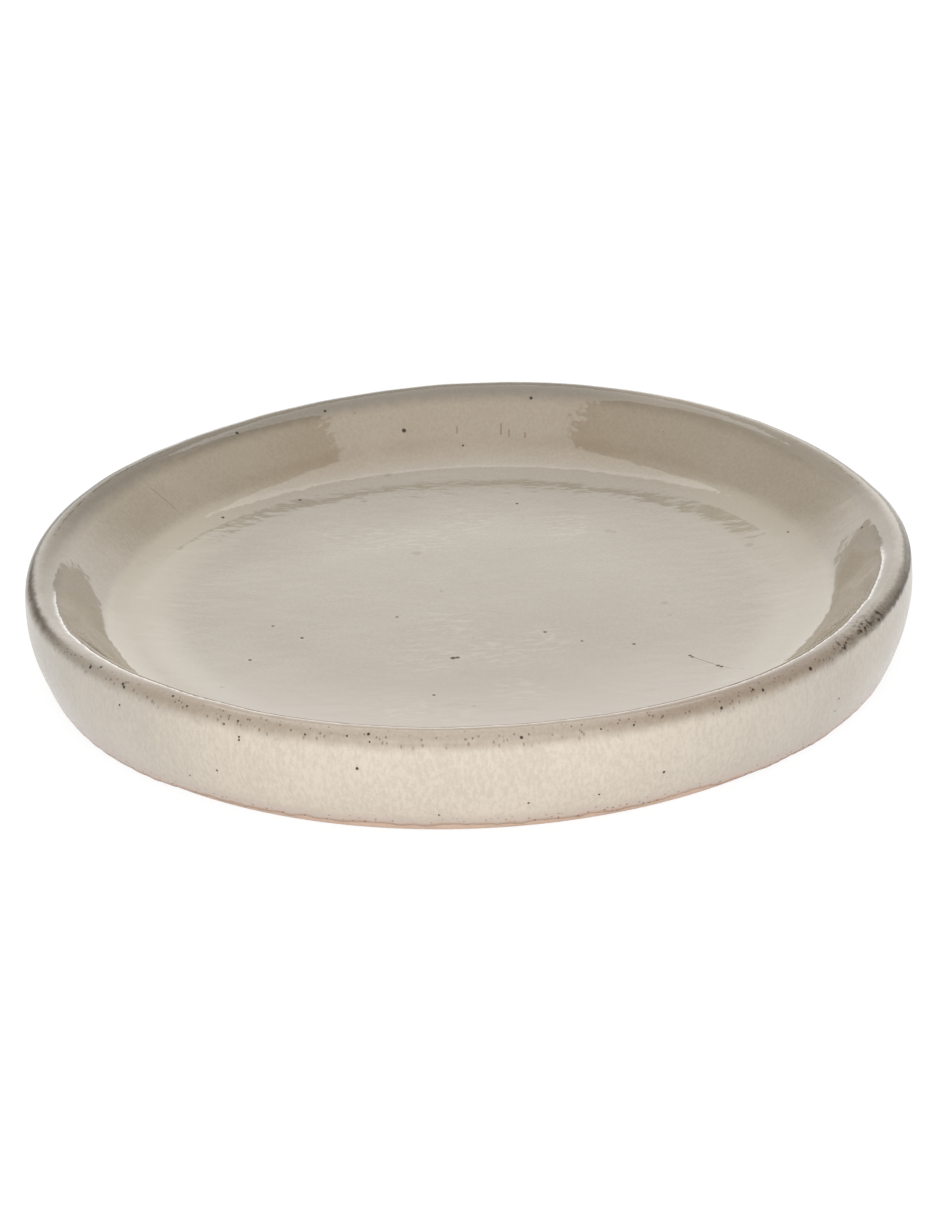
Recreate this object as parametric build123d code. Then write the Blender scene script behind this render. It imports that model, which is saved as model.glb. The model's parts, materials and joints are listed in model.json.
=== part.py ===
from build123d import *

import os
from math import asin, atan2, cos, degrees, radians, sin, sqrt, tan

# Round plant saucer: a thick fired-clay dish under one coat of glaze, with a bare clay foot.
# The dish is turned, so both pieces are sections revolved about Z. The origin is the middle of the foot,
# on the surface that the saucer stands on, with +Z up. The two pieces share one skin: the glaze's inner
# face is the clay's outer face, and each is that skin at its own depth below the finished surface.

# Driving dimensions, in millimetres and degrees, measured over the glaze where there is glaze.
overall_diameter = 200.0  # across the widest part of the wall
overall_height = 23.0  # from the table to the top of the rim
widest_height = 16.0  # where the wall is widest
foot_draw_in = 4.6  # how far the wall comes in from its widest part to the table
rim_radius = 3.0  # of the rim's outer round
lip_radius = 6.5  # of the softer roll from the top of the rim into the well
lip_start = 10.0  # how far past the rim's top that roll begins
inner_wall_slope = 44.0  # of the inside wall, away from upright
cove_radius = 13.0  # of the hollow curve at the foot of the inside wall
floor_edge_radius = 320.0  # of the shallow rise between the flat floor and that hollow
floor_edge_slope = 5.8  # of the shallow rise where it meets the hollow
floor_thickness = 4.3  # clay between the underside and the glaze on the floor
recess_depth = 1.5  # of the hollow underside, above the table
recess_slope = 45.0  # of the hollow's edge, up from the table
foot_ring_width = 12.0  # of the bare ring that stands on the table
foot_edge_round = 0.6  # on both edges of the foot ring
glaze_thickness = 0.5
glaze_line_height = 1.6  # where the glaze stops above the table
glaze_edge_round = 0.3  # on the lower edge of the glaze
largest_round_share = 0.9  # the most of the glaze's thickness that its rounded edge may take


def outward(angle):
    """Unit vector of the section at an angle from straight out, towards straight up."""
    return Vector(cos(radians(angle)), sin(radians(angle)))


# Levels and radii that follow from them.
floor_level = recess_depth + floor_thickness + glaze_thickness
wall_radius = (foot_draw_in**2 + widest_height**2) / (2 * foot_draw_in)

# The wall's arc is centred at its widest height, and the rim's arc touches it from inside.
wall_centre = Vector(overall_diameter / 2 - wall_radius, widest_height)
rim_rise = overall_height - rim_radius - widest_height
rim_reach = sqrt((wall_radius - rim_radius) ** 2 - rim_rise**2)
rim_centre = wall_centre + Vector(rim_reach, rim_rise)
rim_start_angle = degrees(atan2(rim_rise, rim_reach))

# The lip's arc carries the rim on, and ends where the straight inside wall begins.
lip_start_angle = 90 + lip_start
lip_end_angle = 180 - inner_wall_slope
lip_centre = rim_centre + outward(lip_start_angle) * (rim_radius - lip_radius)
wall_top = lip_centre + outward(lip_end_angle) * lip_radius

# The floor's level sets how high the hollow curve is, and so how long the inside wall is.
cove_end_angle = 90 + floor_edge_slope
edge_over_cove = outward(cove_end_angle) * (floor_edge_radius - cove_radius)
cove_height = floor_level + floor_edge_radius - edge_over_cove.Y
cove_from_wall = outward(lip_end_angle) * cove_radius
inner_wall_drop = wall_top.Y + cove_from_wall.Y - cove_height
inner_wall_reach = inner_wall_drop * tan(radians(inner_wall_slope))
cove_centre = wall_top + cove_from_wall - Vector(inner_wall_reach, inner_wall_drop)
floor_edge_centre = cove_centre + edge_over_cove


def wall_angle(height, depth):
    """Angle on the wall's arc, in degrees, of a point at this height and this depth below the glaze."""
    return -degrees(asin((widest_height - height) / (wall_radius - depth)))


def skin(depth, start_angle):
    """Section edges at a depth below the surface: up the wall, over the rim and in to the floor's middle."""
    wall = CenterArc(wall_centre, wall_radius - depth, start_angle, rim_start_angle - start_angle)
    rim = CenterArc(rim_centre, rim_radius - depth, rim_start_angle, lip_start_angle - rim_start_angle)
    lip = CenterArc(lip_centre, lip_radius - depth, lip_start_angle, lip_end_angle - lip_start_angle)
    cove = CenterArc(cove_centre, cove_radius + depth, lip_end_angle - 180, cove_end_angle - lip_end_angle)
    edge_radius = floor_edge_radius + depth
    floor_edge = CenterArc(floor_edge_centre, edge_radius, cove_end_angle - 180, -floor_edge_slope)
    inner_wall = Line(lip @ 1, cove @ 0)
    floor = Line(floor_edge @ 1, (0, floor_level - depth))
    return [wall, rim, lip, inner_wall, cove, floor_edge, floor]


def turned(section):
    """The solid that a section makes when it is turned about the saucer's axis."""
    return revolve(Plane.XZ * section, axis=Axis.Z)


def at_point(section, point):
    """The section's corner at a point."""
    return section.vertices().sort_by_distance(point)[0]


def clay_body():
    """The fired dish, with its hollow underside and the bare ring that it stands on."""
    top = skin(glaze_thickness, wall_angle(0, glaze_thickness))
    foot_outside = top[0] @ 0
    foot_inside = foot_outside - Vector(foot_ring_width, 0)
    recess_edge = foot_inside + Vector(-recess_depth / tan(radians(recess_slope)), recess_depth)
    underside = Polyline(foot_outside, foot_inside, recess_edge, (0, recess_depth), top[-1] @ 1)
    section = make_face(top + [underside])
    corners = [at_point(section, foot_outside), at_point(section, foot_inside)]
    return turned(fillet(corners, foot_edge_round))


def glaze_coat():
    """The glaze over the floor, the inside wall, the rim and the outside wall, down to the glaze line."""
    start_angle = wall_angle(glaze_line_height, 0)
    face = skin(0, start_angle)
    back = skin(glaze_thickness, start_angle)
    lower_edge = Line(face[0] @ 0, back[0] @ 0)
    axis_edge = Line(face[-1] @ 1, back[-1] @ 1)
    section = make_face(face + back + [lower_edge, axis_edge])
    edge_round = min(glaze_edge_round, largest_round_share * glaze_thickness)
    return turned(fillet(at_point(section, face[0] @ 0), edge_round))


PIECES = {"clay_body": clay_body, "glaze_coat": glaze_coat}

os.makedirs("parts", exist_ok=True)
for name, make in PIECES.items():
    piece = make()
    export_step(piece, f"parts/{name}.step")
    print(name, "volume", round(piece.volume), "mm3, size", piece.bounding_box().size)
print("flat floor radius", round(floor_edge_centre.X, 2), "mm at height", floor_level, "mm")
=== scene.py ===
import json
from math import asin, atan2, cos, degrees, hypot, pi, radians, sin, sqrt, tan

import bmesh
import bpy
from mathutils import Matrix, Vector, noise
from mathutils.bvhtree import BVHTree


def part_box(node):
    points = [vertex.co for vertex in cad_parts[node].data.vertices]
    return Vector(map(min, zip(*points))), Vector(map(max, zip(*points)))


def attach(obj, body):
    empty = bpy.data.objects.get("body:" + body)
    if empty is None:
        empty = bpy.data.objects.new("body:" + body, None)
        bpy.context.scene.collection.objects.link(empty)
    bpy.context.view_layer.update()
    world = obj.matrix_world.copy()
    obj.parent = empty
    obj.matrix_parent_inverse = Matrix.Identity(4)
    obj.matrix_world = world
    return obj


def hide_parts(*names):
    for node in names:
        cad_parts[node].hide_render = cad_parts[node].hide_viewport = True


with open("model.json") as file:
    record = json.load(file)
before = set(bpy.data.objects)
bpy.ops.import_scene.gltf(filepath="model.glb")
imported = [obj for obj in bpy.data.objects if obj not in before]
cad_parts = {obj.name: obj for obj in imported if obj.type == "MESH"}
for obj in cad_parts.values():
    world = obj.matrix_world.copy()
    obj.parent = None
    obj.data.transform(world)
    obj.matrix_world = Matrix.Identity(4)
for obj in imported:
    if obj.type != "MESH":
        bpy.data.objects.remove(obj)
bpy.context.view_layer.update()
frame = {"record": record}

# A round plant saucer: a thick fired-clay dish under one coat of glossy cream-grey glaze, with a bare clay
# foot. Lengths are in metres and angles in degrees, in the frame of the solids: the origin is the middle of
# the foot, on the table, with +X to the right, +Y to the back and +Z up.
mm = 0.001

# What the frame gives.
glaze_low, glaze_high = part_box("glaze_coat")
clay_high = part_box("clay_body")[1]
mounts = {mount["name"]: Vector(mount["pos_m"]) for mount in frame["record"]["mounts"]}
saucer_radius = glaze_high.x
saucer_height = glaze_high.z
glaze_line = glaze_low.z
glaze_thickness = glaze_high.x - clay_high.x
floor_level = mounts["pot_seat"].z

# The section that is turned about the axis.
widest_height = 16.0 * mm
foot_draw_in = 4.6 * mm
rim_radius = 3.0 * mm
lip_radius = 6.5 * mm
lip_start = 10.0
inner_wall_slope = 44.0
cove_radius = 13.0 * mm
floor_edge_radius = 320.0 * mm
floor_edge_slope = 5.8
recess_depth = 1.5 * mm
foot_ring_width = 12.0 * mm
foot_edge_round = 0.6 * mm

# Hand work: the rim isn't level. Each wave has its count round the rim, its height and where it crests.
rim_waves = [(2, 0.92 * mm, 81), (3, 0.2 * mm, 103), (4, 0.4 * mm, 66), (5, 0.15 * mm, 0), (6, 0.22 * mm, 42)]
wave_from = 0.5  # share of the radius where the waves begin
wave_full = 0.9  # and where they have their full height
wave_rise = 1.5  # power of the height by which they grow

# Hand work: a low ring runs round the floor's edge, the hollow at the foot of the inside wall is fuller at
# the sides, and the wall over it is steeper there. Each ring has its radius, half its width, its height, the
# side that it is on, and how closely it keeps to that side.
hollow_rings = [
    (78.0 * mm, 8.0 * mm, 0.22 * mm, 0, 0),
    (77.0 * mm, 8.5 * mm, 0.45 * mm, -8, 3),
    (85.5 * mm, 7.0 * mm, -0.25 * mm, -8, 3),
    (73.5 * mm, 9.0 * mm, 0.7 * mm, 195, 4),
    (86.0 * mm, 7.0 * mm, -0.45 * mm, 195, 4),
]
ring_from, ring_full = 2.5 * mm, 5.5 * mm  # the heights between which they begin, clear of the underside

# Hand work: the glaze isn't even. Each swell has its length, and its height on the floor and on the walls.
glaze_swells = [
    (34 * mm, 0.05 * mm, 0.12 * mm),
    (11 * mm, 0.035 * mm, 0.1 * mm),
    (5 * mm, 0.012 * mm, 0.035 * mm),
]
glaze_line_lift = 0.12 * mm  # how far the glaze's lower edge lies above its line, in the mean
glaze_line_wander = 0.55 * mm  # how far it strays up and down from there
glaze_side_drop = 0.95 * mm  # how much lower it lies at the sides
side_wander_loss = 0.5  # and how much less it strays there
side_drop_from, side_drop_full = 40 * mm, 75 * mm  # how far to the side that begins and is full
glaze_line_reach = 4.0 * mm  # how high over the edge that is felt
wander_lengths = [(12 * mm, 0.9), (3.5 * mm, 0.6), (1.6 * mm, 0.4)]  # lengths of the strays, and their shares
glaze_thinning = 0.2 * mm  # how much thinner the glaze is at its lower edge
glaze_thinning_height = 1.0 * mm  # and how high over the edge that is felt

# How finely the meshes are drawn: the steps round the axis, how finely each skin's section is stepped, and
# the steps of the glaze's lower edge and of the clay's foot ring, recess edge, recess and rounded foot edges.
glaze_turn_steps, clay_turn_steps = 480, 240
glaze_face_fineness, glaze_back_fineness, clay_fineness = 1, 0.28, 0.5
glaze_edge_steps = 4
foot_ring_steps, recess_edge_steps, recess_steps, foot_round_steps = 8, 3, 36, 3
least_steps = 2  # of any run of a section
merge_distance = 0.001 * mm  # points closer than this are one point
touching_distance = 0.01 * mm  # an edge closer than this to a circle lies on it

# The camera, as fitted to the photograph's outline.
image_width, image_height = 940, 1215
camera_elevation = 25.06
camera_roll = -2.39
camera_distance = 0.7
focal_pixels = 3052
foot_middle_pixel = Vector((470.4, 629.9))  # where the middle of the foot lies in the photograph
sensor_mm = 36.0


def outward(angle):
    """Unit vector of the section, in the XZ plane, at an angle from straight out, towards straight up."""
    return Vector((cos(radians(angle)), 0, sin(radians(angle))))


def wall_angle(height, depth):
    """Angle on the wall's arc of a point at this height and this depth below the glaze's face."""
    return -degrees(asin((widest_height - height) / (wall_radius - depth)))


# The wall's arc is centred at its widest height, and the rim's arc touches it from inside.
wall_radius = (foot_draw_in**2 + widest_height**2) / (2 * foot_draw_in)
wall_centre = Vector((saucer_radius - wall_radius, 0, widest_height))
rim_rise = saucer_height - rim_radius - widest_height
rim_reach = sqrt((wall_radius - rim_radius) ** 2 - rim_rise**2)
rim_centre = wall_centre + Vector((rim_reach, 0, rim_rise))
rim_start_angle = degrees(atan2(rim_rise, rim_reach))

# The lip's arc carries the rim on, and ends where the straight inside wall begins.
lip_start_angle = 90 + lip_start
lip_end_angle = 180 - inner_wall_slope
lip_centre = rim_centre + outward(lip_start_angle) * (rim_radius - lip_radius)
wall_top = lip_centre + outward(lip_end_angle) * lip_radius

# The floor's level sets how high the hollow curve is, and so how long the inside wall is.
cove_end_angle = 90 + floor_edge_slope
edge_over_cove = outward(cove_end_angle) * (floor_edge_radius - cove_radius)
cove_height = floor_level + floor_edge_radius - edge_over_cove.z
cove_from_wall = outward(lip_end_angle) * cove_radius
inner_wall_drop = wall_top.z + cove_from_wall.z - cove_height
inner_wall_run = Vector((-inner_wall_drop * tan(radians(inner_wall_slope)), 0, -inner_wall_drop))
cove_centre = wall_top + cove_from_wall + inner_wall_run
floor_edge_centre = cove_centre + edge_over_cove
floor_run = Vector((-floor_edge_centre.x, 0, 0))

# Distances along the glaze's face, from its lower edge to where each run of the section begins.
glaze_start_angle = wall_angle(glaze_line, 0)
along_rim = wall_radius * radians(rim_start_angle - glaze_start_angle)
along_lip = along_rim + rim_radius * radians(lip_start_angle - rim_start_angle)
along_wall = along_lip + lip_radius * radians(lip_end_angle - lip_start_angle)
along_cove = along_wall + inner_wall_run.length
along_floor_edge = along_cove + cove_radius * radians(lip_end_angle - cove_end_angle)
along_floor = along_floor_edge + floor_edge_radius * radians(floor_edge_slope)


def along_at(angle):
    """Distance along the glaze's face of the point of the rim or the lip that faces an angle."""
    if angle < lip_start_angle:
        return along_rim + rim_radius * radians(angle - rim_start_angle)
    return along_lip + lip_radius * radians(angle - lip_start_angle)


def skin_runs(start_angle, fineness):
    """The runs of the skin, up the wall, over the rim and in to the floor's middle: what each turns about or
    moves by, how far it turns, and its steps."""
    runs = [
        (wall_centre, rim_start_angle - start_angle, 24),
        (rim_centre, lip_start_angle - rim_start_angle, 24),
        (lip_centre, lip_end_angle - lip_start_angle, 12),
        (inner_wall_run, None, 10),
        (cove_centre, cove_end_angle - lip_end_angle, 16),
        (floor_edge_centre, -floor_edge_slope, 20),
        (floor_run, None, 26),
    ]
    return [(place, turn, max(least_steps, round(steps * fineness))) for place, turn, steps in runs]


def reversed_runs(runs):
    """The same runs, drawn from the floor's middle out."""
    return [(-place, None, steps) if turn is None else (place, -turn, steps)
            for place, turn, steps in reversed(runs)]


def draw(section, tip, runs):
    """Carries the section's last point along its runs, and returns the new last point."""
    for place, turn, steps in runs:
        if turn is None:
            moves = {"cent": tip.co, "dvec": place / steps, "angle": 0}
        else:
            moves = {"cent": place, "angle": radians(turn)}
        drawn = bmesh.ops.spin(section, geom=[tip], axis=(0, -1, 0), steps=steps, **moves)
        tip = next(item for item in drawn["geom_last"] if isinstance(item, bmesh.types.BMVert))
    return tip


def turn_about_axis(section, steps):
    """Turns a section into a closed solid about the saucer's axis."""
    bmesh.ops.spin(section, geom=section.verts[:] + section.edges[:], cent=(0, 0, 0), axis=(0, 0, 1),
                   angle=2 * pi, steps=steps, use_merge=True)
    bmesh.ops.remove_doubles(section, verts=section.verts, dist=merge_distance)
    bmesh.ops.recalc_face_normals(section, faces=section.faces)
    section.normal_update()


def smooth_step(low, high, value):
    """0 below low, 1 above high, and a smooth rise between them."""
    share = min(1, max(0, (value - low) / (high - low)))
    return share * share * (3 - 2 * share)


def reach(point):
    """Distance of a point from the saucer's axis."""
    return hypot(point.x, point.y)


def hand_lift(point):
    """How far hand work lifts the saucer at a point: the rim by its waves, and the inside by its rings."""
    turn = atan2(point.y, point.x)
    radius = reach(point)
    lift = 0
    wave_share = smooth_step(wave_from, wave_full, radius / saucer_radius)
    if wave_share > 0 and point.z > 0:
        wave = sum(height * cos(count * (turn - radians(crest))) for count, height, crest in rim_waves)
        lift += wave * wave_share * (point.z / saucer_height) ** wave_rise
    if point.z > ring_from:
        ring_share = smooth_step(ring_from, ring_full, point.z)
        for ring_radius, half_width, height, side, closeness in hollow_rings:
            nearness = 1 - smooth_step(0, half_width, abs(radius - ring_radius))
            lift += height * nearness * ring_share * max(0, cos(turn - radians(side))) ** closeness
    return lift


def swell(point, wall_share):
    """How far the glaze's face swells at a point, from its evenness on the floor to that on the walls."""
    return sum((on_floor + (on_wall - on_floor) * wall_share) * noise.noise(point / length)
               for length, on_floor, on_wall in glaze_swells)


def line_wander(point):
    """How far the glaze's lower edge strays at a point."""
    level_point = Vector((point.x, point.y, 0))
    wander = sum(share * noise.noise(level_point / length) for length, share in wander_lengths)
    side_share = smooth_step(side_drop_from, side_drop_full, abs(point.x))
    level = glaze_line_lift - glaze_side_drop * side_share
    return level + glaze_line_wander * wander * (1 - side_wander_loss * side_share)


def make_glaze_mesh():
    """The glaze: a closed shell, drawn out along its back and in along its face. The distance along the
    face's section stays with every point, for the colours that follow it."""
    mesh = bmesh.new()
    along = mesh.verts.layers.float.new("along")
    tip = mesh.verts.new((0, 0, floor_level - glaze_thickness))
    tip = draw(mesh, tip, reversed_runs(skin_runs(glaze_start_angle, glaze_back_fineness)))
    tip = draw(mesh, tip, [(outward(glaze_start_angle) * glaze_thickness, None, glaze_edge_steps)])
    face_start = len(mesh.verts) - 1
    draw(mesh, tip, skin_runs(glaze_start_angle, glaze_face_fineness))
    mesh.verts.ensure_lookup_table()
    for before, after in zip(mesh.verts[face_start:-1], mesh.verts[face_start + 1:]):
        after[along] = before[along] + (after.co - before.co).length
    turn_about_axis(mesh, glaze_turn_steps)
    for point in mesh.verts:
        place = point.co.copy()
        over_line = place.z - glaze_line
        on_outside = reach(place) > wall_top.x
        if point[along] > 0:
            wall_share = 1 - smooth_step(along_cove, along_floor_edge, point[along])
            rise = swell(place, wall_share)
            if on_outside:
                rise -= glaze_thinning * (1 - smooth_step(0, glaze_thinning_height, over_line))
            point.co += point.normal * rise
        if on_outside:
            point.co.z += line_wander(place) * (1 - smooth_step(0, glaze_line_reach, over_line))
        point.co.z += hand_lift(place)
    return mesh


def make_clay_mesh():
    """The fired dish under the glaze, with its hollow underside and the ring that it stands on."""
    mesh = bmesh.new()
    tip = mesh.verts.new((0, 0, floor_level - glaze_thickness))
    start_angle = wall_angle(0, glaze_thickness)
    tip = draw(mesh, tip, reversed_runs(skin_runs(start_angle, clay_fineness)))
    foot_outside = tip.co.x
    foot_inside = foot_outside - foot_ring_width
    draw(mesh, tip, [
        (Vector((-foot_ring_width, 0, 0)), None, foot_ring_steps),
        (Vector((-recess_depth, 0, recess_depth)), None, recess_edge_steps),
        (Vector((recess_depth - foot_inside, 0, 0)), None, recess_steps),
    ])
    turn_about_axis(mesh, clay_turn_steps)
    foot_edges = [edge for edge in mesh.edges if is_foot_edge(edge, (foot_outside, foot_inside))]
    bmesh.ops.bevel(mesh, geom=foot_edges, offset=foot_edge_round, offset_type="OFFSET", affect="EDGES",
                    segments=foot_round_steps, profile=0.5, material=-1)
    for point in mesh.verts:
        point.co.z += hand_lift(point.co)
    return mesh


def is_foot_edge(edge, radii):
    """Whether an edge lies on the table, on a circle of one of these radii."""
    on_table = all(abs(end.co.z) < touching_distance for end in edge.verts)
    on_circle = any(all(abs(reach(end.co) - radius) < touching_distance for end in edge.verts)
                    for radius in radii)
    return on_table and on_circle


def finished_piece(name, mesh, material, node):
    """A piece of the saucer, which stands for its node."""
    for face in mesh.faces:
        face.smooth = True
    data = bpy.data.meshes.new(name)
    mesh.to_mesh(data)
    data.materials.append(material)
    piece = bpy.data.objects.new(name, data)
    bpy.context.scene.collection.objects.link(piece)
    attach(piece, "root")
    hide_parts(node)


# The camera stands at the photograph's viewing angle, and looks a little above the middle of the foot.
view_back = Vector((0, -cos(radians(camera_elevation)), sin(radians(camera_elevation))))
level_right = Vector((1, 0, 0))
level_up = Vector((0, sin(radians(camera_elevation)), cos(radians(camera_elevation))))
turned_right = level_right * cos(radians(camera_roll)) + level_up * sin(radians(camera_roll))
turned_up = level_up * cos(radians(camera_roll)) - level_right * sin(radians(camera_roll))
image_middle = Vector((image_width / 2, image_height / 2))
camera_place = view_back * camera_distance
aim_off = (foot_middle_pixel - image_middle) * camera_distance / focal_pixels
camera_target = turned_up * aim_off.y - turned_right * aim_off.x
camera_ahead = (camera_target - camera_place).normalized()
camera_right = camera_ahead.cross(turned_up).normalized()
camera_up = camera_right.cross(camera_ahead)


def make_camera():
    """The camera, with the photograph's view."""
    camera = bpy.data.objects.new("camera", bpy.data.cameras.new("camera"))
    camera.data.sensor_width = sensor_mm
    camera.data.lens = focal_pixels * sensor_mm / image_height
    turned = Matrix((camera_right, camera_up, -camera_ahead)).transposed().to_4x4()
    camera.matrix_world = Matrix.Translation(camera_place) @ turned
    bpy.context.scene.collection.objects.link(camera)
    bpy.context.scene.camera = camera


def on_glaze(pixel):
    """The point of the glaze that a pixel of the photograph shows."""
    from_middle = Vector(pixel) - image_middle
    ray = camera_ahead * focal_pixels + camera_right * from_middle.x - camera_up * from_middle.y
    return glaze_surface.ray_cast(camera_place, ray.normalized())[0]


class Recipe:
    """The nodes of one material. An input is a value or another node's output."""

    mean_tone = 0.5  # of a cloud

    def __init__(self, name):
        self.material = bpy.data.materials.new(name)
        self.material.use_nodes = True
        self.tree = self.material.node_tree
        self.tree.nodes.clear()

    def add(self, kind, inputs=None, **settings):
        """A node with its settings and its inputs."""
        made = self.tree.nodes.new(kind)
        for setting, value in settings.items():
            setattr(made, setting, value)
        for socket, value in (inputs or {}).items():
            if isinstance(value, bpy.types.NodeSocket):
                self.tree.links.new(value, made.inputs[socket])
            else:
                made.inputs[socket].default_value = value
        return made

    def calculate(self, operation, first, second=0.0):
        """The result of a Math node."""
        return self.add("ShaderNodeMath", {0: first, 1: second}, operation=operation).outputs[0]

    def product(self, *values):
        """All the values multiplied together."""
        result = values[0]
        for value in values[1:]:
            result = self.calculate("MULTIPLY", result, value)
        return result

    def highest(self, *values):
        """The greatest of the values."""
        result = values[0]
        for value in values[1:]:
            result = self.calculate("MAXIMUM", result, value)
        return result

    def rise(self, value, low, high, bottom=0.0, top=1.0):
        """A smooth change from bottom to top as the value goes from low to high."""
        inputs = {"Value": value, "From Min": low, "From Max": high, "To Min": bottom, "To Max": top}
        return self.add("ShaderNodeMapRange", inputs, interpolation_type="SMOOTHSTEP").outputs[0]

    def zone(self, *limits):
        """1 where each value is past its limits, where the zone begins and is full, and 0 outside."""
        return self.product(*(self.rise(value, *limit) for value, limit in limits))

    def lessened(self, share, least):
        """From 1 where the share is 0 down to the least where the share is 1."""
        return self.rise(share, 0.0, 1.0, 1.0, least)

    def blend(self, share, first, second):
        """A colour between two colours."""
        first, second = (value if isinstance(value, bpy.types.NodeSocket) else (*value, 1)
                         for value in (first, second))
        return self.add("ShaderNodeMixRGB", {"Fac": share, "Color1": first, "Color2": second}).outputs[0]

    def cloud(self, position, size, detail=2.0):
        """Smooth noise between 0 and 1, whose lumps are about this size."""
        inputs = {"Vector": position, "Scale": 1 / size, "Detail": detail}
        return self.add("ShaderNodeTexNoise", inputs).outputs["Fac"]

    def stretched(self, position, scale):
        """The position with its axes scaled, for a pattern that is longer one way."""
        return self.add("ShaderNodeMapping", {"Vector": position, "Scale": scale}).outputs[0]

    def jostled(self, position, size, reach):
        """The position moved about, so that a mark drawn on it comes out uneven."""
        lumps = self.add("ShaderNodeTexNoise", {"Vector": position, "Scale": 1 / size}).outputs["Color"]
        inputs = {0: lumps, 1: (self.mean_tone, self.mean_tone, self.mean_tone)}
        centred = self.add("ShaderNodeVectorMath", inputs, operation="SUBTRACT").outputs[0]
        inputs = {0: centred, 1: (reach, reach, reach), 2: position}
        return self.add("ShaderNodeVectorMath", inputs, operation="MULTIPLY_ADD").outputs[0]

    def spots(self, position, marks, softness=0.35):
        """1 on each mark, given as a pixel and a radius in millimetres, and 0 away from them."""
        mask = 0.0
        for pixel, radius in marks:
            inputs = {0: position, 1: on_glaze(pixel)}
            distance = self.add("ShaderNodeVectorMath", inputs, operation="DISTANCE").outputs["Value"]
            spot = self.rise(distance, radius * (1 + softness) * mm, radius * (1 - softness) * mm)
            mask = self.calculate("MAXIMUM", mask, spot)
        return mask

    def strokes(self, position, marks, outer=1.4, inner=0.5):
        """1 on each line, given as two pixels and half a width in millimetres, and 0 away from them. Outer
        and inner are the shares of that half width between which a line fades."""
        mask = 0.0
        for start_pixel, end_pixel, half_width in marks:
            start = on_glaze(start_pixel)
            way = on_glaze(end_pixel) - start
            inputs = {0: position, 1: start}
            passed = self.add("ShaderNodeVectorMath", inputs, operation="SUBTRACT").outputs[0]
            inputs = {0: passed, 1: way / way.length_squared}
            share = self.add("ShaderNodeVectorMath", inputs, operation="DOT_PRODUCT").outputs["Value"]
            inputs = {0: share, 1: 1.0}
            share = self.add("ShaderNodeMath", inputs, operation="MULTIPLY", use_clamp=True).outputs[0]
            inputs = {0: way, "Scale": share}
            nearest = self.add("ShaderNodeVectorMath", inputs, operation="SCALE").outputs[0]
            inputs = {0: passed, 1: nearest}
            distance = self.add("ShaderNodeVectorMath", inputs, operation="DISTANCE").outputs["Value"]
            line = self.rise(distance, outer * half_width * mm, inner * half_width * mm)
            mask = self.calculate("MAXIMUM", mask, line)
        return mask

    def specks(self, position, spacing, radius, share, core=0.5):
        """Small scattered dots: 1 on a dot, and 0 between. Only a share of the places has one. The core is
        the share of a dot's radius that is full."""
        texture = self.add("ShaderNodeTexVoronoi", {"Vector": position, "Scale": 1 / spacing})
        dots = self.rise(texture.outputs["Distance"], radius / spacing, core * radius / spacing)
        chance = self.add("ShaderNodeSeparateColor", {0: texture.outputs["Color"]}).outputs[0]
        return self.product(dots, self.calculate("LESS_THAN", chance, share))

    def finish(self, shader):
        """Sends a shader to the surface, and returns the material."""
        out = self.add("ShaderNodeOutputMaterial")
        self.tree.links.new(shader.outputs[0], out.inputs["Surface"])
        return self.material


# Glaze colours, linear, each pair a light one and a deep one.
floor_cream = (0.384, 0.338, 0.27), (0.356, 0.31, 0.246)
# Painted light: the floor's lighter cream towards the front.
painted_lit_floor_front_cream = (0.437, 0.379, 0.312)
wall_cream = (0.355, 0.292, 0.212), (0.322, 0.26, 0.184)
# Painted light: the inside walls' lighter cream at the sides.
painted_lit_side_wall_cream = (0.385, 0.33, 0.253), (0.35, 0.296, 0.222)
wall_stain = (0.28, 0.21, 0.14)
# A lighter cream where the hollow meets the floor at the sides.
side_edge_cream = (0.44, 0.386, 0.303)
# The outside cream is partly the glaze's own creamier colour and partly painted light: lighter than the
# inside's colours, as if the outer wall were in brighter light.
outside_cream = (0.74, 0.654, 0.541), (0.646, 0.572, 0.474)
# Painted shade: the darker grey that the outside wall turns to towards its sides.
outside_painted_shade_grey = (0.565, 0.512, 0.441), (0.5, 0.456, 0.392)
break_brown = (0.18, 0.15, 0.108)
front_break_brown = (0.24, 0.168, 0.112)
# Partly the glaze broken thin, and partly painted dark reflection on the sides of the rim's shoulder.
shoulder_dark_and_painted_reflection = (0.075, 0.054, 0.033)
edge_rust = (0.64, 0.44, 0.32)
edge_pink = (0.63, 0.52, 0.45)
iron_black = (0.032, 0.02, 0.013)
iron_brown = (0.13, 0.08, 0.05)
run_brown = (0.2, 0.09, 0.035)
# A pale cream for painted highlights: the glints on the floor and the rings round some specks.
painted_glint_cream = (0.5, 0.45, 0.37)

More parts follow.
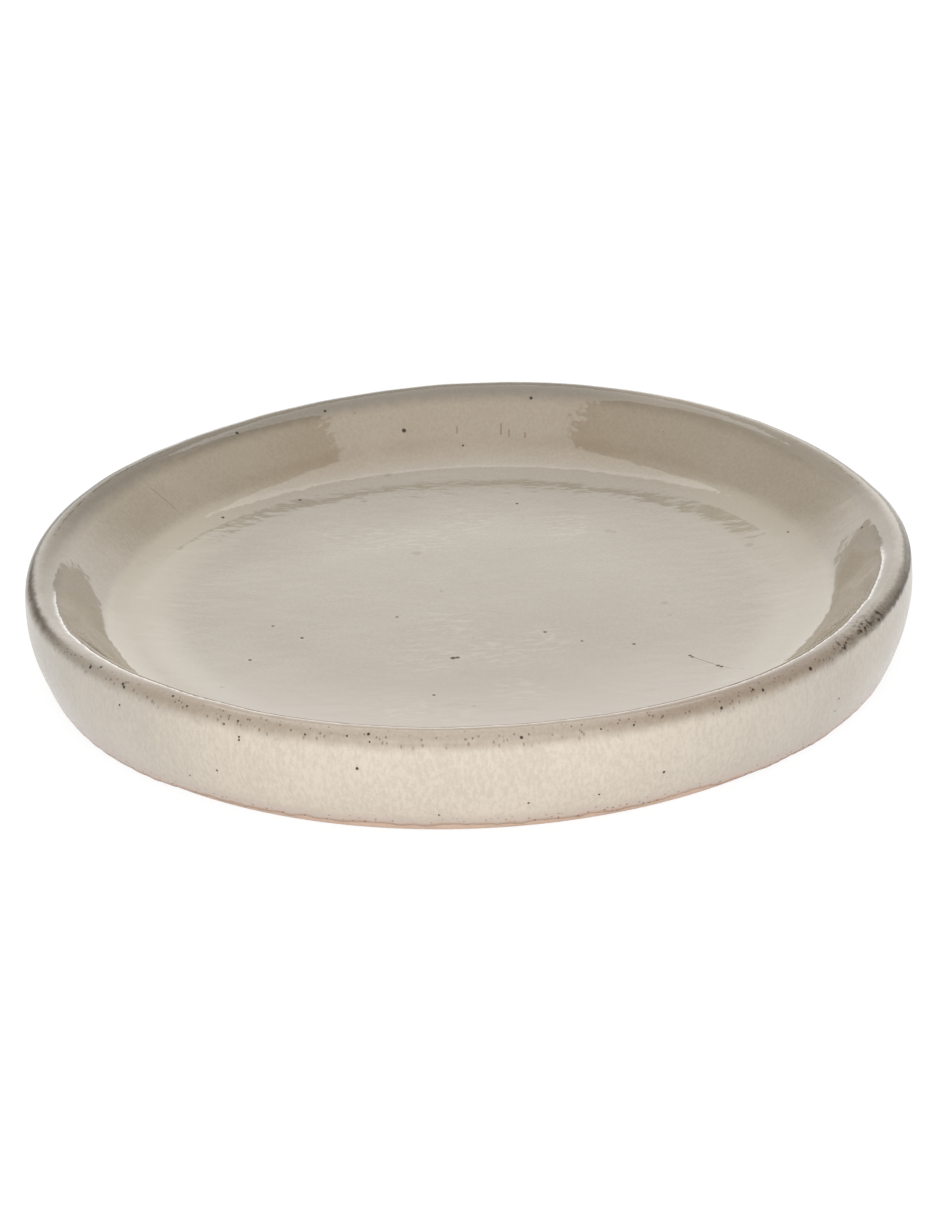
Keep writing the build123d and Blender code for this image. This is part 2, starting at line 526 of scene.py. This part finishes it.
# Marks in the glaze, where the photograph shows them: a pixel, and a radius in millimetres. A run or a
# scratch has two pixels, and half its width.
floor_specks = [
    ((302, 638), 0.42), ((273, 626), 0.36), ((397, 617), 0.36), ((545, 632), 0.42), ((582, 641), 0.34),
    ((634, 644), 0.4), ((434, 695), 0.36), ((453, 658), 0.6), ((457.5, 657.5), 0.5), ((250, 660), 0.42),
    ((517, 503.5), 0.36), ((300, 500), 0.4), ((223, 517.5), 0.4), ((690, 655.5), 0.4), ((692.5, 657), 0.38),
    ((718, 665.5), 0.44), ((721.5, 666.5), 0.44),
]
wall_specks = [
    ((404, 430.5), 0.55), ((237, 433), 0.42), ((325, 411), 0.36), ((531, 398), 0.42), ((463, 445.5), 0.3),
    ((788, 532), 0.3), ((862, 527.5), 0.36),
]
rim_specks = [
    ((90.5, 667), 0.42), ((101, 667), 0.32), ((123, 684), 0.36), ((124, 687), 0.34), ((173, 696), 0.3),
    ((187, 706), 0.24), ((224, 724), 0.24), ((238, 721), 0.25), ((368.5, 734), 0.33), ((369.5, 742), 0.22),
    ((305, 734.5), 0.22), ((347, 736), 0.22), ((721.5, 708), 0.34), ((810.5, 668.5), 0.42),
    ((763, 690), 0.33), ((753, 689.5), 0.3), ((845, 648), 0.36), ((861, 631), 0.44), ((865, 628), 0.4),
    ((879, 620), 0.36),
]
outside_specks = [
    ((119.5, 705), 0.28), ((239, 737), 0.27), ((239, 740), 0.25), ((357, 768.5), 0.33),
    ((521.5, 737.5), 0.33), ((664, 772), 0.33), ((599, 794.5), 0.26), ((528.5, 803), 0.27),
    ((217, 770.5), 0.27), ((190, 775.5), 0.24), ((634, 725), 0.24), ((601, 729), 0.22), ((439, 815), 0.24),
    ((839, 698.5), 0.28), ((835, 711), 0.24),
]
faint_specks = [
    ((441, 591), 0.4), ((474, 706), 0.35), ((510, 549), 0.35), ((222, 687), 0.5), ((670, 615), 0.4),
    ((417, 553), 1.1), ((665, 603), 0.7), ((608, 531), 0.9), ((613, 532), 0.8), ((749, 545), 0.9),
    ((364, 501), 0.7), ((388, 475), 0.7), ((355, 413), 0.4), ((227, 525), 0.5),
]
# Painted highlights: pale rings round some specks, where the rims of their pits catch the light.
painted_highlight_rings = [((302, 639), 0.8), ((250.5, 660), 1.0), ((545, 633), 0.8), ((746, 595), 0.6)]
brown_runs = [
    ((501, 424), (501, 434), 0.28), ((509, 430), (509, 436), 0.22), ((457, 427), (457, 433), 0.22),
    ((525, 433), (525, 437), 0.3), ((151, 488), (176, 509), 0.11), ((176, 509), (214, 525), 0.08),
]
scratches = [((690, 656), (720, 666), 0.1), ((720, 666), (744, 669), 0.08)]
chipped_places = [((866, 627), 3.6), ((846, 646), 2.6), ((880, 617), 2.4)]
# Painted highlights: the places of pale glints on the floor's glaze.
painted_glint_places = [
    ((335, 533), 7), ((378, 537), 9), ((428, 541), 7), ((470, 522), 8), ((570, 526), 8), ((455, 622), 8),
    ((430, 655), 9), ((500, 652), 9), ((545, 640), 6), ((405, 708), 8), ((455, 712), 7), ((520, 690), 6),
]

# The glaze's tone: a fine mottle drawn out upwards, broad clouds and a fine grain, each with its size and its
# share, and the tones between which the light colour turns into the deep one.
brush_size, brush_share, brush_stretch = 0.75 * mm, 0.45, (1, 1, 0.45)
drift_size, drift_share = 20 * mm, 0.28
grain_size, grain_share = 0.5 * mm, 0.27
deep_tones = 0.4, 0.6
fine_detail, plain_detail = 4.0, 3.0  # how many finer layers the clouds have
ragged_size, ragged_reach = 2.5 * mm, 1.6 * mm  # the lumps that make the borders of colours ragged
jostle_size, jostle_reach = 0.7 * mm, 0.18 * mm  # and those that make small marks uneven

# Where the glaze's colours change. Each pair is where a change begins and where it is full: across in X or to
# either side, back in Y, along the glaze's face from its lower edge, or by a cloud's tone.
# Where the painted shade on the outside wall begins and is full, on each side, and how strong it is.
shade_right, shade_right_share = (15 * mm, 80 * mm), 0.75
shade_left, shade_left_share = (-38 * mm, -92 * mm), 0.95
pink_edge, pink_edge_share = (4.5 * mm, 0.8 * mm), 0.8
rust_edge = 1.3 * mm, 0.3 * mm
inside_begins = along_at(80), along_at(110)
# Where the painted light on the floor's front begins and is full.
front_floor = -15 * mm, -65 * mm
# Where the painted light on the side walls begins and is full.
side_walls = 25 * mm, 70 * mm
stain_middle = along_cove - 1.2 * mm
stain_above, stain_below = (along_cove - 4 * mm, stain_middle), (along_cove + 1.6 * mm, stain_middle)
stain_clouds, stain_aside, stain_share = (0.3, 0.6), (75 * mm, 35 * mm), 0.38
# Where the floor's edge is lighter at the sides: along the face, to either side, and less on the right.
side_edge_above = along_cove, along_cove + 3 * mm
side_edge_below = along_floor_edge + 14 * mm, along_floor_edge + 4 * mm
side_edge_aside, side_edge_right, side_edge_right_share = (45 * mm, 72 * mm), (0, 60 * mm), 0.65

# Where the glaze breaks thin and brown over the rim: less at the front, at the back on the right, at the left
# of the front, and on the rim's top at the sides.
front_rim, front_rim_share = (-35 * mm, -88 * mm), 0.67
front_right, front_right_share = (0, 60 * mm), 0.2
break_begins, front_break_begins, break_full = along_at(-3), along_at(-22), along_at(48)
break_ends = along_wall + 2.5 * mm, along_at(118)
break_grain, break_grain_share = (0.3, 0.65), 0.85
rim_top, rim_top_forward, rim_top_share = (along_at(54), along_at(82)), (45 * mm, -5 * mm), 0.6
right_back_across, right_back_away, right_back_share = (20 * mm, 60 * mm), (-20 * mm, 20 * mm), 0.55
left_front_across, left_front_near, left_front_share = (-55 * mm, -80 * mm), (-20 * mm, -50 * mm), 0.72

# The dark line on the rim's shoulder, which leans outwards from left to right and shows at the two sides. It
# is partly the glaze breaking thin and partly painted dark reflection.
shoulder_below, shoulder_above = (along_at(18), along_at(42)), (along_at(72), along_at(46))
lean_across, lean_left, lean_right = (-95 * mm, 95 * mm), -0.9 * mm, 1.1 * mm
right_shoulder, right_shoulder_away, right_shoulder_least = (60 * mm, 95 * mm), (-62 * mm, -36 * mm), 0.3
left_shoulder, left_shoulder_near, left_shoulder_share = (-84 * mm, -95 * mm), (9 * mm, -9 * mm), 0.85

# How fine, how soft at the edge and how strong the marks are.
# The painted glints on the floor: their flecks, their softness and their strength.
fleck_size, fleck_stretch, fleck_tones = 1.3 * mm, (0.4, 1, 1), (0.46, 0.66)
glint_softness, painted_glint_share = 0.6, 0.35
# How strong the painted highlight rings are.
highlight_ring_share = 0.2
run_share = 0.6
faint_softness, faint_share = 0.8, 0.3
chip_size, chip_tones, chip_softness = 0.9 * mm, (0.5, 0.56), 0.7
scratch_share = 0.7
iron_share = 0.92

# Iron dust: its spacing, its radius and the share of the places that have some, and where it lies.
rim_dust, rim_dust_stretch = (1.0 * mm, 0.3 * mm, 0.8), (1, 1, 0.5)
rim_dust_ends, rim_dust_near, rim_dust_least = (along_at(84), along_at(60)), (30 * mm, -30 * mm), 0.15
foot_dust, foot_dust_low = (1.1 * mm, 0.34 * mm, 0.75), (3.4 * mm, 0.8 * mm)
plain_dust = 7 * mm, 0.25 * mm, 0.3
dust_share = 0.72

# The glaze's gloss: satin outside, smooth from the rim's top in, dull on iron, and rippled less on the floor.
glaze_index = 1.6
satin_ends, satin_roughness, gloss_roughness = (along_at(50), along_at(85)), 0.26, 0.055
iron_roughness = 0.3
dry_outside, dry_outside_share = (along_at(50), along_at(30)), 0.4
full_specular, dry_specular = 0.5, 0.1
ripple_size, ripple_stretch, ripple_height = 3.0 * mm, (0.55, 1, 1), 0.07 * mm
ripple_calms, floor_ripple_share = (along_floor_edge + 6 * mm, along_floor), 0.6


class GlazeRecipe(Recipe):
    """The nodes of the glaze, with where a point lies, the glaze's tone there, and how far it is past the
    outside wall's cream, which ends lower down at the front."""

    def __init__(self):
        super().__init__("speckled_cream_glaze")
        self.position = self.add("ShaderNodeTexCoord").outputs["Object"]
        self.place = self.add("ShaderNodeSeparateXYZ", {0: self.position}).outputs
        self.aside = self.calculate("ABSOLUTE", self.place["X"])
        self.along = self.add("ShaderNodeAttribute", attribute_name="along").outputs["Fac"]
        lumps = self.cloud(self.position, ragged_size, fine_detail)
        shake = self.product(self.calculate("SUBTRACT", lumps, self.mean_tone), ragged_reach)
        self.ragged = self.calculate("ADD", self.along, shake)
        self.uneven = self.jostled(self.position, jostle_size, jostle_reach)
        brush = self.cloud(self.stretched(self.position, brush_stretch), brush_size, fine_detail)
        self.drift = self.cloud(self.position, drift_size, plain_detail)
        self.grain = self.cloud(self.position, grain_size, plain_detail)
        tone = self.calculate("ADD", self.product(brush, brush_share), self.product(self.drift, drift_share))
        tone = self.calculate("ADD", tone, self.product(self.grain, grain_share))
        self.deep = self.rise(tone, *deep_tones)
        self.front = self.rise(self.place["Y"], *front_rim)
        begins = self.rise(self.front, 0.0, 1.0, break_begins, front_break_begins)
        self.past_wall = self.rise(self.ragged, begins, break_full)

    def mottled(self, colours):
        """A light colour and a deep one, by the glaze's tone."""
        return self.blend(self.deep, *colours)

    def outside(self):
        """The cream of the outside wall, greyer towards the sides by painted shade, and pink and rusty over
        its lower edge.
        """
        # painted shade: greyer towards the sides
        grey = self.highest(self.rise(self.place["X"], *shade_right, 0.0, shade_right_share),
                            self.rise(self.place["X"], *shade_left, 0.0, shade_left_share))
        colour = self.blend(grey, self.mottled(outside_cream), self.mottled(outside_painted_shade_grey))
        colour = self.blend(self.rise(self.ragged, *pink_edge, 0.0, pink_edge_share), colour, edge_pink)
        return self.blend(self.rise(self.ragged, *rust_edge), colour, edge_rust)

    def inside(self):
        """The greyer cream inside, stained at the wall's foot; painted light lightens the floor's front and
        the side walls.
        """
        nearness = self.rise(self.place["Y"], *front_floor)
        # painted light: lighter towards the floor's front
        floor = self.blend(nearness, self.mottled(floor_cream), painted_lit_floor_front_cream)
        sideways = self.rise(self.aside, *side_walls)
        # painted light: the walls lighter at the sides
        wall = self.blend(sideways, self.mottled(wall_cream), self.mottled(painted_lit_side_wall_cream))
        stain = self.zone((self.ragged, stain_above), (self.ragged, stain_below), (self.drift, stain_clouds),
                          (self.aside, stain_aside))
        wall = self.blend(self.product(stain, stain_share), wall, wall_stain)
        colour = self.blend(self.rise(self.ragged, along_cove, along_floor_edge), wall, floor)
        # lighter where the hollow meets the floor at the sides, less on the right
        pool = self.zone((self.ragged, side_edge_above), (self.ragged, side_edge_below), (self.aside, side_edge_aside))
        pool = self.product(pool, self.rise(self.place["X"], *side_edge_right, 1.0, side_edge_right_share))
        return self.blend(pool, colour, side_edge_cream)

    def rim_break(self):
        """How far the glaze is broken through over the rim."""
        to_right = self.product(self.rise(self.place["X"], *front_right, 0.0, front_right_share), self.front)
        strength = self.calculate("ADD", self.lessened(self.front, front_rim_share), to_right)
        on_top = self.zone((self.ragged, rim_top), (self.place["Y"], rim_top_forward))
        right_back = self.zone((self.place["X"], right_back_across), (self.place["Y"], right_back_away))
        left_front = self.zone((self.place["X"], left_front_across), (self.place["Y"], left_front_near))
        return self.product(
            self.past_wall,
            self.rise(self.ragged, *break_ends),
            strength,
            self.rise(self.grain, *break_grain, 1.0, break_grain_share),
            self.lessened(on_top, self.rise(self.front, 0.0, 1.0, rim_top_share, 1.0)),
            self.lessened(right_back, right_back_share),
            self.lessened(left_front, left_front_share),
        )

    def shoulder_line(self):
        """The dark line on the rim's shoulder, at the two sides: thin glaze and painted dark reflection."""
        lean = self.rise(self.place["X"], *lean_across, lean_left, lean_right)
        leaning = self.calculate("ADD", self.ragged, lean)
        line = self.zone((leaning, shoulder_below), (leaning, shoulder_above))
        right = self.product(self.rise(self.place["X"], *right_shoulder),
                             self.rise(self.place["Y"], *right_shoulder_away, right_shoulder_least, 1.0))
        left = self.product(self.rise(self.place["X"], *left_shoulder, 0.0, left_shoulder_share),
                            self.rise(self.place["Y"], *left_shoulder_near))
        return self.product(line, self.highest(right, left))

    def dust(self):
        """The iron dust in the band on the rim, over the lower edge, and thinly everywhere."""
        on_rim = self.product(self.specks(self.stretched(self.uneven, rim_dust_stretch), *rim_dust),
                              self.past_wall, self.rise(self.ragged, *rim_dust_ends),
                              self.rise(self.place["Y"], *rim_dust_near, rim_dust_least, 1.0))
        at_foot = self.product(self.specks(self.uneven, *foot_dust), self.rise(self.along, *foot_dust_low))
        return self.highest(self.specks(self.uneven, *plain_dust), on_rim, at_foot)

    def iron(self, rim_break):
        """The iron specks, the chips on the rim and the scratch on the floor."""
        specks = self.spots(self.uneven, floor_specks + wall_specks + rim_specks + outside_specks)
        chips = self.product(self.spots(self.position, chipped_places, chip_softness),
                             self.rise(self.cloud(self.position, chip_size, plain_detail), *chip_tones))
        scratched = self.product(self.strokes(self.uneven, scratches), scratch_share)
        return self.highest(specks, self.product(chips, rim_break), scratched)

    def streaks(self):
        """Painted highlights: pale glinting flecks in some places of the floor."""
        flecks = self.cloud(self.stretched(self.position, fleck_stretch), fleck_size, plain_detail)
        return self.product(self.spots(self.position, painted_glint_places, glint_softness),
                            self.rise(flecks, *fleck_tones))

    def ripple(self):
        """The waviness of the glaze's face, too fine for the mesh."""
        waves = self.cloud(self.stretched(self.position, ripple_stretch), ripple_size)
        strength = self.rise(self.along, *ripple_calms, 1.0, floor_ripple_share)
        inputs = {"Height": waves, "Strength": strength, "Distance": ripple_height}
        return self.add("ShaderNodeBump", inputs).outputs[0]


def make_glaze():
    """Glossy cream-grey glaze: cream outside, partly painted light, greyer inside, and brown where it breaks
    over the rim.
    """
    glaze = GlazeRecipe()
    rim_break = glaze.rim_break()
    shoulder = glaze.shoulder_line()
    iron = glaze.iron(rim_break)
    coats = [
        (rim_break, glaze.blend(glaze.front, break_brown, front_break_brown)),
        # partly painted dark reflection on the rim's shoulder
        (shoulder, shoulder_dark_and_painted_reflection),
        # painted highlights: glints on the floor
        (glaze.product(glaze.streaks(), painted_glint_share), painted_glint_cream),
        # painted highlights: rings round some specks
        (glaze.product(glaze.spots(glaze.uneven, painted_highlight_rings), highlight_ring_share), painted_glint_cream),
        (glaze.product(glaze.strokes(glaze.uneven, brown_runs), run_share), run_brown),
        (glaze.product(glaze.spots(glaze.uneven, faint_specks, faint_softness), faint_share), iron_brown),
        (glaze.product(glaze.dust(), dust_share), iron_brown),
        (glaze.product(iron, iron_share), iron_black),
    ]
    colour = glaze.blend(glaze.rise(glaze.ragged, *inside_begins), glaze.outside(), glaze.inside())
    for share, coat in coats:
        colour = glaze.blend(share, colour, coat)
    satin = glaze.rise(glaze.ragged, *satin_ends, satin_roughness, gloss_roughness)
    dry = glaze.highest(iron, shoulder, glaze.rise(glaze.ragged, *dry_outside, 0.0, dry_outside_share))
    inputs = {
        "Base Color": colour,
        "Roughness": glaze.calculate("ADD", satin, glaze.product(iron, iron_roughness)),
        "IOR": glaze_index,
        "Specular IOR Level": glaze.rise(dry, 0.0, 1.0, full_specular, dry_specular),
        "Normal": glaze.ripple(),
    }
    return glaze.finish(glaze.add("ShaderNodeBsdfPrincipled", inputs))


# The bare clay: its colours, linear, a deep one and a light one, its grain and its finish.
clay_pink = (0.76, 0.55, 0.42), (0.9, 0.72, 0.6)
clay_grain_size = 0.6 * mm
clay_grain_strength, clay_grain_height = 0.4, 0.2 * mm
clay_roughness, clay_index = 0.9, 1.5


def make_clay():
    """Bare fired earthenware: matt, orange-pink and finely grained."""
    clay = Recipe("bare_earthenware")
    grain = clay.cloud(clay.add("ShaderNodeTexCoord").outputs["Object"], clay_grain_size, fine_detail)
    inputs = {"Height": grain, "Strength": clay_grain_strength, "Distance": clay_grain_height}
    bump = clay.add("ShaderNodeBump", inputs)
    inputs = {
        "Base Color": clay.blend(grain, *clay_pink),
        "Roughness": clay_roughness,
        "IOR": clay_index,
        "Normal": bump.outputs[0],
    }
    return clay.finish(clay.add("ShaderNodeBsdfPrincipled", inputs))


glaze_mesh = make_glaze_mesh()
glaze_surface = BVHTree.FromBMesh(glaze_mesh)
finished_piece("glaze_surface", glaze_mesh, make_glaze(), "glaze_coat")
finished_piece("fired_clay", make_clay_mesh(), make_clay(), "clay_body")

# The stage: a wide white table, a tent of pale paper behind it, a long softbox overhead, a front lamp and a
# plain grey room.
white = (1, 1, 1, 1)
table_radius, table_segments = 6.0, 96
table_glow = 0.92  # what the camera and the reflections see of the table, whatever its light
table_tint = 0.12  # and how much of its light and shadow they see
table_white = 0.9
room_grey = 0.38

# The backdrop, by elevations and angles seen from the table's middle.
backdrop_radius = 1.5
backdrop_half_angle, backdrop_steps = 72, 48
backdrop_low, backdrop_high = 0.4, 58
backdrop_light, backdrop_fade = 1.5, 20  # its light, up to where it fades
backdrop_top_light, backdrop_faded = 1.05, 31  # its light from there to the seam
paper_foot_light, paper_foot_high = 1.6, 10  # what the middle of its foot has more, and how high that goes
paper_foot_reach, paper_foot_full = 0.42, 0.21  # how far to the side that is felt, and is full
seam_low, seam_high, seam_softness = 31.7, 34.8, 0.2
seam_reach, seam_full, seam_light = 0.06, 0.042, 0.0  # the seam's reach to the side, and its light
over_seam_light = 0.84
low_edge, low_edge_height = (30, 48), 20  # where its sides fade, up to this height
high_edge, high_edge_height = (54, 66), 42  # and above this height
tent_shift = 0.07  # how far to the right the middle of its width lies
dark_corner_high, dark_corner_aside = (10.8, 11.9), (10, 14)  # where its lower corners are dark
dark_corner_share = 0.88

# The lamps.
softbox_height = 1.0
softbox_width = 0.87
softbox_back, softbox_front = 52, 130  # the elevations of its two ends, from the back
softbox_light = 1.39
fill_distance = 1.5
fill_elevation = 32
fill_width, fill_height = 1.8, 0.9
fill_light = 2.05


def stage_piece(name, mesh, material):
    """A part of the stage, which isn't part of the saucer."""
    data = bpy.data.meshes.new(name)
    mesh.to_mesh(data)
    data.materials.append(material)
    piece = bpy.data.objects.new(name, data)
    bpy.context.scene.collection.objects.link(piece)
    return piece


def plain_grey(level):
    """A grey of this level."""
    return (level, level, level, 1)


def make_table():
    """The white table: white to the camera and in reflections, and still under the saucer's shadow."""
    table = Recipe("white_table")
    path = table.add("ShaderNodeLightPath").outputs
    seen = table.highest(path["Is Camera Ray"], path["Is Glossy Ray"], path["Is Transmission Ray"])
    glow = table.add("ShaderNodeEmission", {"Color": white, "Strength": table_glow}).outputs[0]
    shaded = table.add("ShaderNodeBsdfDiffuse", {"Color": plain_grey(table_tint)}).outputs[0]
    plain = table.add("ShaderNodeBsdfDiffuse", {"Color": plain_grey(table_white)}).outputs[0]
    bright = table.add("ShaderNodeAddShader", {0: glow, 1: shaded}).outputs[0]
    material = table.finish(table.add("ShaderNodeMixShader", {0: seen, 1: plain, 2: bright}))
    mesh = bmesh.new()
    bmesh.ops.create_circle(mesh, cap_ends=True, segments=table_segments, radius=table_radius)
    stage_piece("table", mesh, material)


def backdrop_height(elevation):
    """Height on the backdrop of what lies at an elevation over the table's middle."""
    return backdrop_radius * tan(radians(elevation))


def backdrop_reach(angle):
    """How far to the side the backdrop lies at an angle from its middle."""
    return backdrop_radius * sin(radians(angle))


class PaperRecipe(Recipe):
    """The nodes of the backdrop's paper, with where a point of it lies."""

    def __init__(self):
        super().__init__("backdrop_paper")
        position = self.add("ShaderNodeTexCoord").outputs["Object"]
        self.place = self.add("ShaderNodeSeparateXYZ", {0: position}).outputs
        self.aside = self.calculate("ABSOLUTE", self.place["X"])

    def climb(self, low, high, bottom=0.0, top=1.0):
        """A smooth change from bottom to top between two elevations."""
        return self.rise(self.place["Z"], backdrop_height(low), backdrop_height(high), bottom, top)

    def between(self, share, first, second):
        """A number between two numbers."""
        return self.add("ShaderNodeMix", {0: share, 2: first, 3: second}).outputs[0]

    def middle_light(self):
        """The light of the paper's middle, up from its foot, with its seam."""
        light = self.climb(backdrop_fade, backdrop_faded, backdrop_light, backdrop_top_light)
        foot = self.product(self.climb(paper_foot_high, backdrop_low),
                            self.rise(self.aside, paper_foot_reach, paper_foot_full))
        light = self.calculate("ADD", light, self.product(foot, paper_foot_light))
        light = self.between(self.climb(seam_low, seam_high), light, over_seam_light)
        seam = self.product(self.climb(seam_low, seam_low + seam_softness),
                            self.climb(seam_high, seam_high - seam_softness),
                            self.rise(self.aside, seam_reach, seam_full))
        return self.between(seam, light, seam_light)

    def lit_share(self):
        """1 where the paper is lit, and less past its sides and in its lower corners."""
        raised = self.climb(low_edge_height, high_edge_height)
        edge_start, edge_end = (self.between(raised, backdrop_reach(low), backdrop_reach(high))
                                for low, high in zip(low_edge, high_edge))
        off_middle = self.calculate("ABSOLUTE", self.calculate("SUBTRACT", self.place["X"], tent_shift))
        dark_low, dark_high = dark_corner_high
        dark_from, dark_full = (backdrop_reach(angle) for angle in dark_corner_aside)
        corner = self.product(self.climb(dark_high, dark_low), self.rise(self.aside, dark_from, dark_full))
        lit = self.calculate("SUBTRACT", 1.0, self.product(corner, dark_corner_share))
        return self.product(self.rise(off_middle, edge_end, edge_start), lit)


def make_backdrop():
    """The tent of pale paper behind the table, which the glaze reflects: brightest at the middle of its foot,
    with a dark seam across, dark lower corners and sides that fade into the room."""
    paper = PaperRecipe()
    light = paper.between(paper.lit_share(), room_grey, paper.middle_light())
    material = paper.finish(paper.add("ShaderNodeEmission", {"Color": white, "Strength": light}))
    low, high = backdrop_height(backdrop_low), backdrop_height(backdrop_high)
    mesh = bmesh.new()
    start = Matrix.Rotation(radians(90 - backdrop_half_angle), 3, "Z") @ Vector((backdrop_radius, 0, low))
    bmesh.ops.spin(mesh, geom=[mesh.verts.new(start)], cent=(0, 0, 0), axis=(0, 0, 1),
                   angle=radians(2 * backdrop_half_angle), steps=backdrop_steps)
    raised = bmesh.ops.extrude_edge_only(mesh, edges=mesh.edges[:])["geom"]
    bmesh.ops.translate(mesh, vec=(0, 0, high - low),
                        verts=[item for item in raised if isinstance(item, bmesh.types.BMVert)])
    stage_piece("backdrop", mesh, material).visible_camera = False


def make_lamp(name, place, target, width, height, light):
    """A flat soft lamp of an even brightness, which faces a target."""
    lamp = bpy.data.lights.new(name, "AREA")
    lamp.shape = "RECTANGLE"
    lamp.size = width
    lamp.size_y = height
    lamp.energy = light * pi * width * height
    stand = bpy.data.objects.new(name, lamp)
    stand.location = place
    stand.rotation_euler = (target - place).to_track_quat("-Z", "Y").to_euler()
    bpy.context.scene.collection.objects.link(stand)


def make_softbox():
    """The long softbox over the table."""
    back = softbox_height / tan(radians(softbox_back))
    front = softbox_height / tan(radians(softbox_front))
    middle = Vector((0, (back + front) / 2, softbox_height))
    under = Vector((0, middle.y, 0))
    make_lamp("softbox", middle, under, softbox_width, back - front, softbox_light)


def make_front_fill():
    """The broad lamp above and behind the camera, which lights the front of the saucer."""
    place = Matrix.Rotation(radians(-fill_elevation), 3, "X") @ Vector((0, -fill_distance, 0))
    make_lamp("front_fill", place, Vector((0, 0, 0)), fill_width, fill_height, fill_light)


def make_room():
    """The plain grey room round the table."""
    world = bpy.data.worlds.new("room")
    world.use_nodes = True
    background = world.node_tree.nodes["Background"]
    background.inputs["Color"].default_value = white
    background.inputs["Strength"].default_value = room_grey
    bpy.context.scene.world = world


make_table()
make_backdrop()
make_softbox()
make_front_fill()
make_room()
make_camera()
bpy.context.scene.view_settings.view_transform = "Standard"
